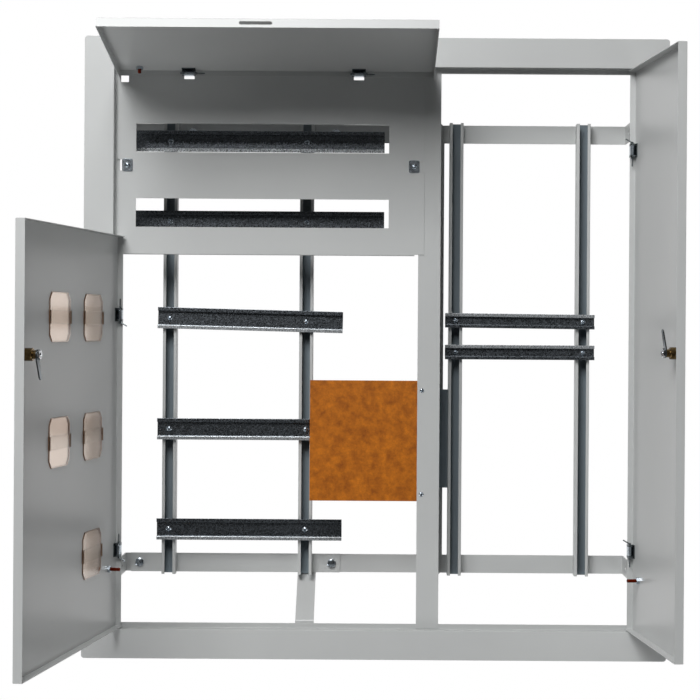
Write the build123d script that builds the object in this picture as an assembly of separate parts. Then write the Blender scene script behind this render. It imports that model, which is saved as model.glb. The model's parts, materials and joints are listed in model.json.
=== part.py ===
from build123d import *
import os
from dataclasses import dataclass
from math import radians, tan

# Driving dimensions in millimetres and degrees.
# X runs right, Y into the wall and Z up. The plane Y = 0 is the wall's surface, where the trim's back lies,
# and X = Z = 0 is the centre of the trim.

# Trim frame, folded from one sheet thickness
trim_width = 940.0
trim_height = 1000.0
trim_face = 47.5
trim_corner = 5.0
trim_sheet = 1.2
rebate_depth = 18.4
lip_width = 8.0

# Centre post, and the lines where the doors and the flap meet
bay_split_x = 93.25
row_split_z = 180.0
post_width = 36.0
post_shift = -7.25
post_sheet = 1.2
post_end_gap = 0.5

# Small round pieces are drawn with few sides: shanks and their holes, screw heads and studs, lock housings
shank_sides = 6
head_sides = 8
housing_sides = 20
head_taper = 28.0

# Cut on the outside of a fold, as a share of the sheet, which leaves the fold as thick as the sheet
fold_share = 2 - 2 ** 0.5

# Doors and flap, shallow trays
leaf_sheet = 1.2
leaf_flange = 13.6
hinge_flange = 10.0
flange_relief = 3.0
hinge_gap = 3.5
end_gap = 2.0
side_gap = 6.0
bay_gap = 3.5
row_gap = 3.0
meter_door_angle = 97.8
telecom_door_angle = 95.3
flap_angle = 98.8
pull_slot_inset = 236.5
pull_slot_length = 49.0
pull_slot_height = 5.0

# Hinges: the frame leaf's neck turns inside the door leaf's fork
pivot_inset = 7.5
pivot_depth = 7.5
knuckle_radius = 3.5
pin_radius = 2.0
pin_clearance = 0.05
pin_overhang = 3.0
pin_tail_radius = 1.0
pin_tail_length = 12.0
pin_bend_length = 13.0
pin_bend_drop = 30.0
neck_width = 15.0
web_width = 22.0
web_thickness = 1.2
web_gap = 0.3
ear_thickness = 3.2
ear_gap = 0.3
pad_thickness = 1.5
pad_near = 4.0
pad_far = 10.0
hinge_cut_gap = 1.2
meter_hinge_insets = (126.5, 123.9)
telecom_hinge_insets = (128.8, 126.5)
flap_hinge_insets = (113.2, 120.9)

# Locks
lock_setback = 36.0
meter_lock_z = -6.5
telecom_lock_z = -1.3
lock_head_radius = 11.0
lock_head_thickness = 2.2
lock_barrel_radius = 9.0
lock_barrel_length = 13.3
lock_core_radius = 6.0
lock_core_recess = 0.6
lock_hole_gap = 0.15
lock_square = 8.0
lock_square_gap = 0.05
lock_stud_radius = 4.0
key_recess_width = 7.0
key_recess_height = 2.0
key_recess_depth = 4.0
cam_depth = 20.0
cam_thickness = 2.0
cam_length = 35.0
cam_root_width = 14.0
cam_tip_width = 9.0
cam_bend = 9.0
cam_bend_drop = 8.0
nut_width = 12.6
nut_thickness = 3.2
nut_protrusion = 1.5

# Meter windows, snapped into the meter door
window_width = 98.0
window_height = 72.0
window_chamfer = 10.0
window_rim = 3.0
window_rim_thickness = 1.5
window_wall = 1.2
window_depth = 1.5
window_gap = 0.3
window_near_x = 133.0
window_column_pitch = 171.0
window_top_drop = 132.5
window_row_pitch = 181.7
window_band_thickness = 0.5
window_tab_height = 20.0
window_tab_reach = 2.5
window_tab_thickness = 3.0

# Earth studs
stud_radius = 3.0
door_stud_length = 20.0
flap_stud_length = 11.0
stud_inset = 40.0
flap_stud_inset = 14.0
stud_nut_width = 10.0
stud_nut_thickness = 5.0
meter_stud_rise = 97.5
telecom_stud_rise = 84.5
flap_stud_end_inset = 35.5

# Breaker panel, set from the trim's opening, the post and the line between flap and meter door
panel_sheet = 1.0
panel_side_gap = 3.2
panel_top_gap = 12.5
panel_post_lap = 9.6
panel_drop = 30.0
panel_lip_depth = 12.0
panel_lip_left_inset = 8.3
panel_lip_right_inset = 15.6
panel_relief = 1.8
breaker_slot_height = 46.0
breaker_slot_left_margin = 30.9
breaker_slot_right_margin = 57.7
upper_slot_drop = 101.8
lower_slot_rise = 67.4
hinge_notch_side = 0.8
hinge_notch_gap = 4.7
corner_notch_inset = 5.9
corner_notch_width = 12.4
corner_notch_depth = 12.2
clip_notch_depth = 7.8
clip_notch_height = 18.0

# Panel clips and their screws
clip_drop = 146.0
clip_left_inset = 16.8
clip_right_inset = 17.1
clip_width = 17.0
clip_height = 20.0
clip_thickness = 1.5
clip_corner = 1.5
clip_screw_radius = 2.0
clip_screw_length = 8.0
clip_head_radius = 4.5
clip_head_thickness = 2.0
clip_screw_gap = 0.1

# Rear bows and the meter frame's bars
bow_front_depth = 109.2
bow_thickness = 2.0
bow_width = 30.0
upper_bow_drop = 88.5
lower_bow_rise = 86.5
upright_bow_setback = 205.25
upright_bow_foot_rise = 4.0
anchor_hole_radius = 4.5
anchor_hole_depth = 64.0
bar_thickness = 2.0
bar_width = 31.0
upper_bar_overhang = 10.8
upper_bar_post_gap = 122.0
lower_bar_side_gap = 10.5
lower_bar_post_gap = 125.0
bar_bolt_inset = 14.0
upper_bolt_inset = 44.0
bolt_radius = 4.0
bolt_head_width = 13.0
bolt_head_thickness = 5.3
bolt_hole_gap = 0.2

# Uprights, open C channels, set from the trim's opening and the post
upright_width = 23.0
upright_depth = 22.0
upright_sheet = 1.5
upright_lip = 5.0
upright_overhang = 17.0
meter_upright_side_inset = 82.9
meter_upright_post_inset = 182.6
telecom_upright_post_inset = 27.9
telecom_upright_side_inset = 80.6

# Rails, top-hat sections
rail_height = 35.0
rail_crown = 25.0
rail_depth = 7.5
rail_sheet = 1.0
breaker_rail_side_gap = 22.5
breaker_rail_post_gap = 55.0
upper_breaker_rail_rise = 0.8
lower_breaker_rail_drop = 10.4
meter_rail_left_overhang = 19.4
meter_rail_right_overhang = 60.6
meter_rail_drops = (135.0, 315.0, 480.0)
meter_rail_tilts = (1.2, 0.0, 0.0)
telecom_rail_left_overhang = 17.4
telecom_rail_right_overhang = 19.1
telecom_rail_height = 24.0
telecom_rail_crown = 15.0
telecom_rails_z = (46.0, -5.5)
telecom_rail_tilts = (0.4, 0.0)
rail_screw_radius = 2.5
rail_screw_length = 12.0
rail_head_radius = 4.5
rail_head_thickness = 2.6
rail_screw_gap = 0.2

# Compartment partition and board bracket
partition_sheet = 1.2
partition_overhang = 20.0
partition_flange = 20.0
partition_chamfer = 8.0
bracket_sheet = 1.2
bracket_inset = 16.0
bracket_front_gap = 3.0
bracket_flange_set = 9.8

# Insulating board
board_post_reach = 173.4
board_partition_gap = 4.65
board_top = -51.6
board_bottom = -246.4
board_thickness = 3.0
board_screw_inset = 7.4
board_screw_top_inset = 15.8
board_screw_bottom_inset = 11.5
board_screw_radius = 2.0
board_screw_length = 7.0
board_head_radius = 3.6
board_head_thickness = 2.0
board_screw_gap = 0.1

# Reach of a cutting solid past the face that it opens
over = 1.0

# Planes and lines that several pieces share
front_y = -trim_sheet
open_x = trim_width / 2 - trim_face
open_z = trim_height / 2 - trim_face
lip_front_y = front_y + rebate_depth
lip_back_y = lip_front_y + trim_sheet
lip_x = open_x - lip_width
lip_z = open_z - lip_width
post_front_y = lip_front_y - post_sheet
post_left = bay_split_x + post_shift - post_width / 2
post_right = post_left + post_width
partition_left = bay_split_x - partition_sheet / 2
partition_right = bay_split_x + partition_sheet / 2

panel_front_y = post_front_y - panel_sheet
panel_left = panel_side_gap - open_x
panel_right = post_left + panel_post_lap
panel_bottom = row_split_z - panel_drop
panel_top = open_z - panel_top_gap
breaker_slots_z = (panel_top - upper_slot_drop, panel_bottom + lower_slot_rise)
clips_x = (panel_left + clip_left_inset, panel_right - clip_right_inset)
clip_z = panel_top - clip_drop

bow_front_y = front_y + bow_front_depth
bow_back_y = bow_front_y + bow_thickness
upper_bow_z = lip_z - upper_bow_drop
lower_bow_z = lower_bow_rise - lip_z
upright_bow_x = bay_split_x - upright_bow_setback
bar_front_y = bow_front_y - bar_thickness
meter_upright_front_y = bar_front_y - upright_depth
telecom_upright_front_y = bow_front_y - upright_depth
meter_uprights_x = (meter_upright_side_inset - open_x, post_left - meter_upright_post_inset)
telecom_uprights_x = (post_right + telecom_upright_post_inset, open_x - telecom_upright_side_inset)
upper_bar_ends = (meter_uprights_x[0] - upper_bar_overhang, post_left - upper_bar_post_gap)
lower_bar_ends = (lower_bar_side_gap - lip_x, post_left - lower_bar_post_gap)

board_left = post_left - board_post_reach
board_right = partition_left - board_partition_gap
board_screw_x = post_left + board_screw_inset
board_screws_z = (board_top - board_screw_top_inset, board_bottom + board_screw_bottom_inset)

# Where each door and the flap hang. In a leaf's own frame the pivot is the origin, X runs across the leaf
# to its free edge, Y runs to its back and Z runs along the pin.
pivot_x = open_x - hinge_gap - pivot_inset
pivot_y = front_y + pivot_depth
flap_pivot_z = open_z - hinge_gap - pivot_inset
meter_closed = Pos(-pivot_x, pivot_y, 0)
telecom_closed = Pos(pivot_x, pivot_y, 0) * Rot(0, 180, 0)
flap_closed = Pos(0, pivot_y, flap_pivot_z) * Rot(0, 90, 0)
meter_open = meter_closed * Rot(0, 0, -meter_door_angle)
telecom_open = telecom_closed * Rot(0, 0, -telecom_door_angle)
flap_open = flap_closed * Rot(0, 0, -flap_angle)

# Leaf sizes from the pivot to the free edge and along the pin, and what sits on the leaves
meter_reach = pivot_x + bay_split_x - bay_gap / 2
telecom_reach = pivot_x - bay_split_x - bay_gap / 2
flap_reach = flap_pivot_z - row_split_z - row_gap / 2
meter_span = (end_gap - open_z, row_split_z - row_gap / 2)
telecom_span = (end_gap - open_z, open_z - end_gap)
flap_span = (side_gap - open_x, bay_split_x - bay_gap / 2)
skin_outer = -pivot_depth
skin_inner = skin_outer + leaf_sheet
fork_length = neck_width + 2 * (ear_gap + ear_thickness)
meter_hinges_z = (meter_span[1] - meter_hinge_insets[0], meter_span[0] + meter_hinge_insets[1])
telecom_hinges_z = (telecom_span[1] - telecom_hinge_insets[0], telecom_span[0] + telecom_hinge_insets[1])
flap_hinges_x = (flap_span[0] + flap_hinge_insets[0], flap_span[1] - flap_hinge_insets[1])
meter_stud_z = meter_span[0] + meter_stud_rise
telecom_stud_z = telecom_span[0] + telecom_stud_rise
flap_stud_x = flap_span[0] + flap_stud_end_inset
pull_slot_x = flap_span[0] + pull_slot_inset
window_top_z = meter_span[1] - window_top_drop


def block(x0, x1, y0, y1, z0, z1):
    """Rectangular solid between two opposite corners."""
    centre = Pos((x0 + x1) / 2, (y0 + y1) / 2, (z0 + z1) / 2)
    return centre * Box(x1 - x0, y1 - y0, z1 - z0)


def rod_y(x, z, y0, y1, radius):
    """Round bar along Y."""
    return Pos(x, (y0 + y1) / 2, z) * Rot(90, 0, 0) * Cylinder(radius, y1 - y0)


def rod_z(z0, z1, radius):
    """Round bar on a pivot, along Z."""
    return Pos(0, 0, (z0 + z1) / 2) * Cylinder(radius, z1 - z0)


def prism_y(x, z, y0, y1, radius, sides):
    """Bar along Y with flat sides, given the radius to the middle of a side."""
    section = RegularPolygon(radius, sides, major_radius=False)
    return Pos(x, y1, z) * extrude(Plane.XZ * section, y1 - y0)


def prism_z(z0, z1, radius, sides):
    """Bar on a pivot, along Z, with flat sides, given the radius to the middle of a side."""
    return Pos(0, 0, z0) * extrude(RegularPolygon(radius, sides, major_radius=False), z1 - z0)


def wall(sketch, y_back, thickness):
    """Flat sheet: an outline drawn in X and Z, standing with its back at the given Y."""
    return Pos(0, y_back, 0) * extrude(Plane.XZ * sketch, thickness)


def rect(x0, x1, z0, z1):
    """Rectangle between two opposite corners."""
    return Pos((x0 + x1) / 2, (z0 + z1) / 2) * Rectangle(x1 - x0, z1 - z0)


def folded(points, sheet):
    """Section of a sheet folded along its mid-line, with each fold's outside corner cut off."""
    fold = sheet * fold_share
    line = [Vector(*point) for point in points]
    steps = [(end - start).normalized() for start, end in zip(line, line[1:])]
    sides = []
    for half in (sheet / 2, -sheet / 2):
        offsets = [Vector(-step.Y, step.X) * half for step in steps]
        side = [line[0] + offsets[0]]
        for i, corner in enumerate(line[1:-1]):
            mitre = 1 / (1 + steps[i].dot(steps[i + 1]))
            point = corner + (offsets[i] + offsets[i + 1]) * mitre
            outside = offsets[i].dot(steps[i + 1]) < 0
            side += [point - steps[i] * fold, point + steps[i + 1] * fold] if outside else [point]
        sides.append(side + [line[-1] + offsets[-1]])
    return make_face(Polyline(*sides[0], *reversed(sides[1]), close=True))


def trim_frame():
    """Flat face round the opening, returned into the niche and folded in to a narrow lip."""
    face = wall(RectangleRounded(trim_width, trim_height, trim_corner), 0, trim_sheet)
    sleeve = block(-open_x - trim_sheet, open_x + trim_sheet, -trim_sheet, lip_back_y,
                   -open_z - trim_sheet, open_z + trim_sheet)
    opening = block(-open_x, open_x, front_y - over, lip_front_y, -open_z, open_z)
    window = block(-lip_x, lip_x, front_y - over, lip_back_y + over, -lip_z, lip_z)
    frame = face + sleeve - opening - window
    mouth = frame.edges().filter_by_position(Axis.Y, front_y, front_y)
    mouth = mouth.filter_by(lambda e: abs(e.center().X) <= open_x and abs(e.center().Z) <= open_z)
    return chamfer(mouth, trim_sheet * fold_share)


def centre_post():
    """Flat strip that laps on the lip at the top and bottom."""
    end = open_z - post_end_gap
    post = block(post_left, post_right, post_front_y, lip_front_y, -end, end)
    return post - board_screw_holes()


def bow_section(half):
    """Bent strip: a back, two legs to the lip and two feet behind the lip."""
    mid = bow_thickness / 2
    foot_end = half + lip_width
    points = [(-foot_end, lip_back_y + mid), (-half + mid, lip_back_y + mid), (-half + mid, bow_back_y - mid),
              (half - mid, bow_back_y - mid), (half - mid, lip_back_y + mid), (foot_end, lip_back_y + mid)]
    return folded(points, bow_thickness)


def cross_bow(z):
    """Rear bow from side to side, with a wall-anchor hole in each leg and the bar bolts' holes."""
    bow = Pos(0, 0, z - bow_width / 2) * extrude(bow_section(lip_x), bow_width)
    anchor = Rot(0, 90, 0) * Cylinder(anchor_hole_radius, trim_width)
    return drill_bolts(bow - Pos(0, front_y + anchor_hole_depth, z) * anchor)


def upright_bow():
    """Short upright bow: from the back of the lower cross bow it slopes forward to a foot behind the lip."""
    mid = bow_thickness / 2
    back = bow_back_y + mid
    foot = lip_back_y + mid
    half = bow_width / 2
    points = [(back, lower_bow_z + half), (back, lower_bow_z - half - bow_thickness),
              (foot, upright_bow_foot_rise - lip_z), (foot, -open_z)]
    section = folded(points, bow_thickness)
    return Pos(upright_bow_x - bow_width / 2, 0, 0) * extrude(Plane.YZ * section, bow_width)


def bar_bolt_places():
    """Bolt centres of the meter frame's two bars."""
    upper_left, upper_right = upper_bar_ends
    lower_left, lower_right = lower_bar_ends
    return [(upper_left + upper_bolt_inset, upper_bow_z), (upper_right - bar_bolt_inset, upper_bow_z),
            (lower_left + bar_bolt_inset, lower_bow_z), (lower_right - bar_bolt_inset, lower_bow_z)]


def drill_bolts(piece):
    """Take the bar bolts' holes out of a piece."""
    radius = bolt_radius + bolt_hole_gap
    for x, z in bar_bolt_places():
        piece -= prism_y(x, z, bar_front_y - over, bow_back_y + over, radius, shank_sides)
    return piece


def frame_bar(ends, z):
    """Flat bar of the meter frame, bolted to a bow."""
    return drill_bolts(block(*ends, bar_front_y, bow_front_y, z - bar_width / 2, z + bar_width / 2))


def bar_bolts():
    """Hex bolts through the bars and bows."""
    bolts = []
    for x, z in bar_bolt_places():
        head = prism_y(x, z, bar_front_y - bolt_head_thickness, bar_front_y, bolt_head_width / 2, 6)
        bolts.append(head + prism_y(x, z, bar_front_y, bow_back_y, bolt_radius, shank_sides))
    return bolts


def upright(x, front):
    """C channel, open to the front, whose lips carry the rails."""
    mid = upright_sheet / 2
    side = upright_width / 2 - mid
    lip_end = upright_width / 2 - upright_lip
    points = [(-lip_end, front + mid), (-side, front + mid), (-side, front + upright_depth - mid),
              (side, front + upright_depth - mid), (side, front + mid), (lip_end, front + mid)]
    section = folded(points, upright_sheet)
    bottom = lower_bow_z - upright_overhang
    return Pos(x, 0, bottom) * extrude(section, upper_bow_z + upright_overhang - bottom)


@dataclass
class RailRow:
    """One rail: its ends, its height at mid-length, its tilt, its section and the uprights that carry it."""
    left: float
    right: float
    z: float
    tilt: float
    height: float
    crown: float
    uprights_x: tuple
    upright_front: float

    def middle(self):
        """Point of the rail's seat about which it is tilted."""
        return Pos((self.left + self.right) / 2, self.upright_front, self.z)

    def screw_places(self):
        """Centre of the screw at each upright, which follows the tilt."""
        drop = tan(radians(self.tilt))
        return [(x, self.z - drop * (x - self.middle().position.X)) for x in self.uprights_x]


def rail_rows():
    """Every rail of the board by name."""
    rows = {}
    breaker_z = (breaker_slots_z[0] + upper_breaker_rail_rise, breaker_slots_z[1] - lower_breaker_rail_drop)
    for place, z in zip(("upper", "lower"), breaker_z):
        rows[f"breaker_rail_{place}"] = RailRow(
            breaker_rail_side_gap - open_x, post_left - breaker_rail_post_gap,
            z, 0.0, rail_height, rail_crown, meter_uprights_x, meter_upright_front_y)
    for place, drop, tilt in zip(("upper", "middle", "lower"), meter_rail_drops, meter_rail_tilts):
        rows[f"meter_rail_{place}"] = RailRow(
            meter_uprights_x[0] - meter_rail_left_overhang, meter_uprights_x[1] + meter_rail_right_overhang,
            row_split_z - drop, tilt, rail_height, rail_crown, meter_uprights_x, meter_upright_front_y)
    for place, z, tilt in zip(("upper", "lower"), telecom_rails_z, telecom_rail_tilts):
        rows[f"telecom_rail_{place}"] = RailRow(
            telecom_uprights_x[0] - telecom_rail_left_overhang,
            telecom_uprights_x[1] + telecom_rail_right_overhang,
            z, tilt, telecom_rail_height, telecom_rail_crown, telecom_uprights_x, telecom_upright_front_y)
    return rows


def rail(row):
    """Top-hat rail with its crown on the uprights, drilled for its screws."""
    mid = rail_sheet / 2
    rim = mid - rail_depth
    wall_z = row.crown / 2 - mid
    points = [(rim, -row.height / 2), (rim, -wall_z), (-mid, -wall_z),
              (-mid, wall_z), (rim, wall_z), (rim, row.height / 2)]
    section = folded(points, rail_sheet)
    bar = extrude(Plane.YZ * section, (row.right - row.left) / 2, both=True)
    bar = row.middle() * Rot(0, row.tilt, 0) * bar
    for x, z in row.screw_places():
        bar -= prism_y(x, z, row.upright_front - rail_depth, row.upright_front + over,
                       rail_screw_radius + rail_screw_gap, shank_sides)
    return bar


def pan_screw(x, z, seat, length, radius, head_radius, head_thickness):
    """Pan-head screw, its tapered head in front of the seat."""
    outline = RegularPolygon(head_radius, head_sides)
    head = Pos(x, seat, z) * extrude(Plane.XZ * outline, head_thickness, taper=head_taper)
    return head + prism_y(x, z, seat, seat + length, radius, shank_sides)


def rail_screws():
    """Screws that hold the rails on the uprights."""
    return [pan_screw(x, z, row.upright_front - rail_sheet, rail_screw_length, rail_screw_radius,
                      rail_head_radius, rail_head_thickness)
            for row in rail_rows().values() for x, z in row.screw_places()]


def compartment_partition():
    """Plate between the two bays, with a rear flange on the bows."""
    mid = partition_sheet / 2
    flange_edge = partition_left + partition_flange
    points = [(bay_split_x, lip_front_y), (bay_split_x, bow_front_y - mid), (flange_edge, bow_front_y - mid)]
    section = folded(points, partition_sheet)
    bottom = lower_bow_z - partition_overhang
    plate = Pos(0, 0, bottom) * extrude(section, upper_bow_z + partition_overhang - bottom)
    corners = plate.edges().filter_by(Axis.Y)
    corners = corners.filter_by_position(Axis.X, flange_edge - over, flange_edge + over)
    return chamfer(corners, partition_chamfer)


def board_bracket():
    """Angle plate on the partition, whose rear flange reaches the telecom bay's left upright."""
    mid = bracket_sheet / 2
    flange_y = telecom_upright_front_y + bracket_flange_set
    upright_side = telecom_uprights_x[0] - upright_width / 2
    plate_x = partition_right + mid
    points = [(plate_x, lip_front_y + bracket_front_gap), (plate_x, flange_y - mid),
              (upright_side, flange_y - mid)]
    section = folded(points, bracket_sheet)
    bottom = board_bottom + bracket_inset
    return Pos(0, 0, bottom) * extrude(section, board_top - bracket_inset - bottom)


def board_screw_holes():
    """Holes for the board's screws, through the post and the board."""
    radius = board_screw_radius + board_screw_gap
    back = lip_front_y + board_thickness
    return [prism_y(board_screw_x, z, post_front_y - over, back + over, radius, shank_sides)
            for z in board_screws_z]


def insulating_board():
    """Laminate sheet screwed to the back of the post."""
    back = lip_front_y + board_thickness
    return block(board_left, board_right, lip_front_y, back, board_bottom, board_top) - board_screw_holes()


def board_screws():
    """Screws through the post into the board."""
    return [pan_screw(board_screw_x, z, post_front_y, board_screw_length, board_screw_radius,
                      board_head_radius, board_head_thickness) for z in board_screws_z]


def breaker_panel():
    """Cover sheet with two breaker slots, notched round the flap's hinges and folded back at its foot."""
    lip_left = panel_left + panel_lip_left_inset
    lip_right = panel_right - panel_lip_right_inset
    outline = rect(panel_left, panel_right, panel_bottom, panel_top)
    for z in breaker_slots_z:
        half = breaker_slot_height / 2
        outline -= rect(panel_left + breaker_slot_left_margin, panel_right - breaker_slot_right_margin,
                        z - half, z + half)
    for x in flap_hinges_x:
        half = neck_width / 2 + hinge_notch_side
        outline -= rect(x - half, x + half, flap_pivot_z - knuckle_radius - hinge_notch_gap, panel_top + over)
    notch_left = panel_left + corner_notch_inset
    notch_right = notch_left + corner_notch_width
    outline -= rect(notch_left, notch_right, panel_top - corner_notch_depth, panel_top + over)
    low, high = clip_z - clip_notch_height / 2, clip_z + clip_notch_height / 2
    outline -= rect(panel_left - over, panel_left + clip_notch_depth, low, high)
    outline -= rect(panel_right - clip_notch_depth, panel_right + over, low, high)
    relief = panel_bottom + panel_relief
    outline -= rect(panel_left - over, lip_left, panel_bottom - over, relief)
    outline -= rect(lip_right, panel_right + over, panel_bottom - over, relief)
    panel = wall(outline, post_front_y, panel_sheet)
    panel += block(lip_left, lip_right, panel_front_y, panel_front_y + panel_lip_depth,
                   panel_bottom, panel_bottom + panel_sheet)
    fold = panel.edges().filter_by(Axis.X).filter_by_position(Axis.Z, panel_bottom, panel_bottom)
    panel = chamfer(fold.sort_by(Axis.Y)[0], panel_sheet * fold_share)
    return panel - clip_screw_holes()


def clip_screw_holes():
    """Holes for the clips' screws, through the clips and the panel."""
    radius = clip_screw_radius + clip_screw_gap
    front = panel_front_y - clip_thickness
    return [prism_y(x, clip_z, front - over, post_front_y + over, radius, shank_sides) for x in clips_x]


def panel_clips():
    """Zinc plates that clamp the panel, one near each side."""
    clips = []
    for x, hole in zip(clips_x, clip_screw_holes()):
        plate = Pos(x, clip_z) * chamfer(Rectangle(clip_width, clip_height).vertices(), clip_corner)
        clips.append(wall(plate, panel_front_y, clip_thickness) - hole)
    return clips


def panel_clip_screws():
    """Screws through the clips and the panel."""
    seat = panel_front_y - clip_thickness
    return [pan_screw(x, clip_z, seat, clip_screw_length, clip_screw_radius,
                      clip_head_radius, clip_head_thickness) for x in clips_x]


def leaf_tray(reach, span, hinges):
    """Door or flap in its own frame: a skin with four folded edges, cut away where the hinge necks pass."""
    z0, z1 = span
    rim = skin_outer + leaf_flange
    tray = block(-pivot_inset, reach, skin_outer, rim, z0, z1)
    tray = chamfer(tray.faces().sort_by(Axis.Y)[0].edges(), leaf_sheet * fold_share)
    tray -= block(leaf_sheet - pivot_inset, reach - leaf_sheet, skin_inner, rim + over,
                  z0 + leaf_sheet, z1 - leaf_sheet)
    tray -= block(-pivot_inset - over, -pivot_inset + flange_relief, skin_outer + hinge_flange, rim + over,
                  z0 - over, z1 + over)
    half = neck_width / 2 + hinge_cut_gap
    flange_inner = leaf_sheet - pivot_inset
    for z in hinges:
        tray -= block(-pivot_inset - over, flange_inner + over, skin_inner, rim + over, z - half, z + half)
    return tray


def ear(root, z0, z1):
    """Hinge ear or neck without its bore: a flat bar from its root along Y to an eye round the pivot."""
    side = knuckle_radius
    corner = side * (2 - 2 ** 0.5)
    end = -side if root > 0 else side
    shoulder = end + corner if root > 0 else end - corner
    points = [(-side, root), (-side, shoulder), (corner - side, end), (side - corner, end), (side, shoulder),
              (side, root)]
    return Pos(0, 0, z0) * extrude(make_face(Polyline(*points, close=True)), z1 - z0)


def frame_hinge_leaf():
    """Web on the lip with one neck that reaches forward to the pivot, where the pin turns in it."""
    web_back = lip_front_y - pivot_y
    web_front = web_back - web_thickness
    jamb = -pivot_inset - hinge_gap
    half = neck_width / 2
    web = block(jamb + web_gap, knuckle_radius, web_front, web_back, -web_width / 2, web_width / 2)
    return web + ear(web_front, -half, half) - rod_z(-half - over, half + over, pin_radius + pin_clearance)


def leaf_hinge_fork():
    """Pad on the leaf's skin with two ears that hold the pin, one each side of the neck."""
    half = fork_length / 2
    pad_back = skin_inner + pad_thickness
    fork = block(-pad_near, pad_far, skin_inner, pad_back, -half, half)
    for side in (-1, 1):
        ends = sorted((side * half, side * (half - ear_thickness)))
        fork += ear(pad_back, *ends)
    return fork - prism_z(-half - over, half + over, pin_radius + pin_clearance, head_sides)


def hinge_pin(bent):
    """Pin with a thin tail at one end and, where it is bent, a wire end that leans away from the leaf."""
    half = fork_length / 2 + pin_overhang
    pin = rod_z(-half, half, pin_radius)
    pin += prism_z(half, half + pin_tail_length, pin_tail_radius, shank_sides)
    if bent:
        end = prism_z(0, pin_bend_length, pin_tail_radius, shank_sides)
        pin += Pos(0, 0, pin_radius - half) * Rot(-90 - pin_bend_drop, 0, 0) * end
    return pin


def lock_hole(x, z):
    """Hole in a door's skin for the lock."""
    return rod_y(x, z, skin_outer - over, skin_inner + over, lock_barrel_radius + lock_hole_gap)


def lock_housing(x, z):
    """Flanged head on the door's face and a barrel through the skin."""
    face = skin_outer - lock_head_thickness
    head = prism_y(x, z, face, skin_outer, lock_head_radius, housing_sides)
    head = chamfer(head.faces().sort_by(Axis.Y)[0].edges(), lock_head_thickness / 2)
    end = skin_inner + lock_barrel_length
    housing = head + prism_y(x, z, skin_outer, end, lock_barrel_radius, housing_sides)
    return housing - prism_y(x, z, face - over, end + over, lock_core_radius + pin_clearance, housing_sides)


def lock_core(x, z):
    """Turning core with a key recess in front, a square that drives the cam, and a stud with its nut."""
    face = skin_outer - lock_head_thickness + lock_core_recess
    cam_front = skin_outer + cam_depth
    cam_back = cam_front + cam_thickness
    nut_back = cam_back + nut_thickness
    core = rod_y(x, z, face, cam_front, lock_core_radius)
    core += prism_y(x, z, cam_front, cam_back, lock_square / 2, 4)
    core += prism_y(x, z, cam_back, nut_back + nut_protrusion, lock_stud_radius, head_sides)
    core -= block(x - key_recess_width / 2, x + key_recess_width / 2, face - over, face + key_recess_depth,
                  z - key_recess_height / 2, z + key_recess_height / 2)
    nut = prism_y(x, z, cam_back, nut_back, nut_width / 2, 6)
    nut -= prism_y(x, z, cam_back - over, nut_back + over, lock_stud_radius + pin_clearance, head_sides)
    return [core, nut]


def lock_cam(x, z):
    """Tongue on the core's square, bent inwards, which hangs along the pin's direction when unlocked."""
    root = Circle(cam_root_width / 2)
    tip = Pos(0, cam_tip_width / 2 - cam_length) * Circle(cam_tip_width / 2)
    outline = make_hull((root + tip).edges())
    outline -= RegularPolygon(lock_square / 2 + lock_square_gap, 4, major_radius=False)
    middle = skin_outer + cam_depth + cam_thickness / 2
    lean = tan(radians(cam_bend)) * (cam_length - cam_bend_drop)
    points = [(middle, cam_root_width), (middle, -cam_bend_drop), (middle + lean, -cam_length)]
    strip = extrude(Plane.YZ * folded(points, cam_thickness), cam_root_width, both=True)
    return Pos(x, 0, z) * (strip & wall(outline, middle + cam_length, 2 * cam_length))


def clipped_rectangle(width, height, clip):
    """Rectangle with its four corners cut off at 45 degrees."""
    outline = Rectangle(width, height)
    return chamfer(outline.vertices(), clip)


def window_places():
    """Centres of the windows on the meter door, across and up."""
    near, far = window_near_x, window_near_x + window_column_pitch
    rows = [window_top_z - row * window_row_pitch for row in range(3)]
    return {"upper_inner": (near, rows[0]), "upper_outer": (far, rows[0]), "middle_inner": (near, rows[1]),
            "middle_outer": (far, rows[1]), "lower_inner": (near, rows[2])}


def window_hole(x, z):
    """Opening in the door's skin for a window."""
    outline = clipped_rectangle(window_width + 2 * window_gap, window_height + 2 * window_gap, window_chamfer)
    return Pos(x, 0, z) * wall(outline, skin_inner + over, leaf_sheet + 2 * over)


def meter_window(x, z):
    """Clear moulding: a rim on the door's face, a cup through the skin, a back band and two snap tabs."""
    rim_front = skin_outer - window_rim_thickness
    cup_back = skin_inner + window_depth
    rim = clipped_rectangle(window_width + 2 * window_rim, window_height + 2 * window_rim, window_chamfer)
    cup = clipped_rectangle(window_width, window_height, window_chamfer)
    hollow_width = window_width - 2 * window_wall
    hollow = clipped_rectangle(hollow_width, window_height - 2 * window_wall, window_chamfer)
    piece = wall(rim, skin_outer, window_rim_thickness)
    piece += wall(cup, cup_back, cup_back - skin_outer)
    piece -= wall(hollow, cup_back - window_wall, cup_back - window_wall - rim_front + over)
    half = window_tab_height / 2
    piece += block(-window_width / 2, window_width / 2, cup_back - window_wall / 2,
                   cup_back + window_band_thickness, -half, half)
    for side in (-1, 1):
        ends = sorted((side * (window_width / 2 - window_wall), side * (window_width / 2 + window_tab_reach)))
        piece += block(*ends, skin_inner, skin_inner + window_tab_thickness, -half, half)
    return Pos(x, 0, z) * piece


def earth_stud(x, z, length):
    """Copper-coloured stud welded to a leaf's skin, with its nut."""
    nut_back = skin_inner + stud_nut_thickness
    nut = prism_y(x, z, skin_inner, nut_back, stud_nut_width / 2, 6)
    nut -= prism_y(x, z, skin_inner - over, nut_back + over, stud_radius + pin_clearance, head_sides)
    return [prism_y(x, z, skin_inner, skin_inner + length, stud_radius, head_sides), nut]


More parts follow.
